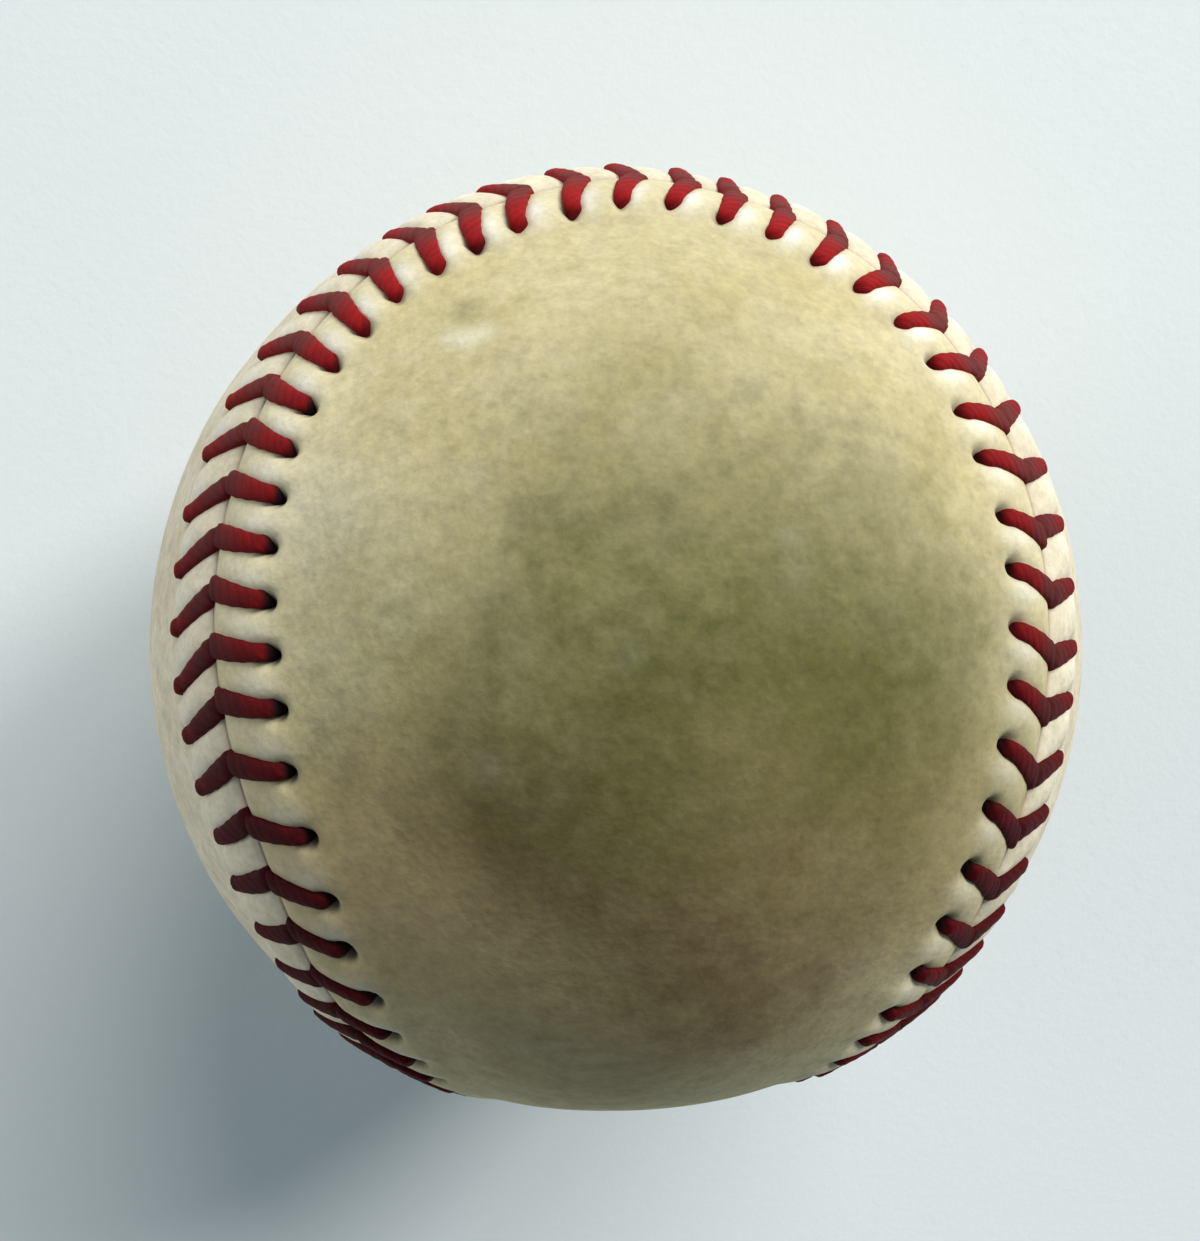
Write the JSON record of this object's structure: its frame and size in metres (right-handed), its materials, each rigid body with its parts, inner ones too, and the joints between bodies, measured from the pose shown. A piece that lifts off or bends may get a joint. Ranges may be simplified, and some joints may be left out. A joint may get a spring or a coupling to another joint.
{
  "type": "baseball",
  "caption": "Sewn leather ball for throwing and hitting: figure-8 cover panels with a raised red-stitched seam over yarn windings and a cushioned cork core.",
  "frame": {"origin": "centre of the ball", "axes": "+Z through the middle of the lobe of cover_panel_a that the picture shows, +Y through the waist of cover_panel_b, which is the axis about which the seam repeats; +X completes a right-handed frame"},
  "size_m": [0.074, 0.074, 0.074],
  "materials": {
    "cover_leather": "cream hide, soiled tan and brown with play, paler beside the seam",
    "seam_thread": "dark red waxed cotton thread, soiled",
    "finishing_yarn": "fine white cotton blend yarn",
    "grey_wool_yarn": "grey wool yarn",
    "white_wool_yarn": "off-white wool yarn",
    "red_rubber": "matt red moulded rubber",
    "black_rubber": "matt black moulded rubber",
    "cork": "cork granules bound with rubber"
  },
  "bodies": {
    "root": {"cover_panel_a": "cover_leather", "cover_panel_b": "cover_leather", "seam_thread_first_needle": "seam_thread", "seam_thread_second_needle": "seam_thread", "finishing_yarn_winding": "finishing_yarn", "grey_three_ply_winding": "grey_wool_yarn", "white_three_ply_winding": "white_wool_yarn", "grey_four_ply_winding": "grey_wool_yarn", "red_rubber_cup_upper": "red_rubber", "red_rubber_cup_lower": "red_rubber", "black_rubber_cup_upper": "black_rubber", "black_rubber_cup_lower": "black_rubber", "rubber_gasket": "red_rubber", "cork_core": "cork"}
  },
  "joints": []
}
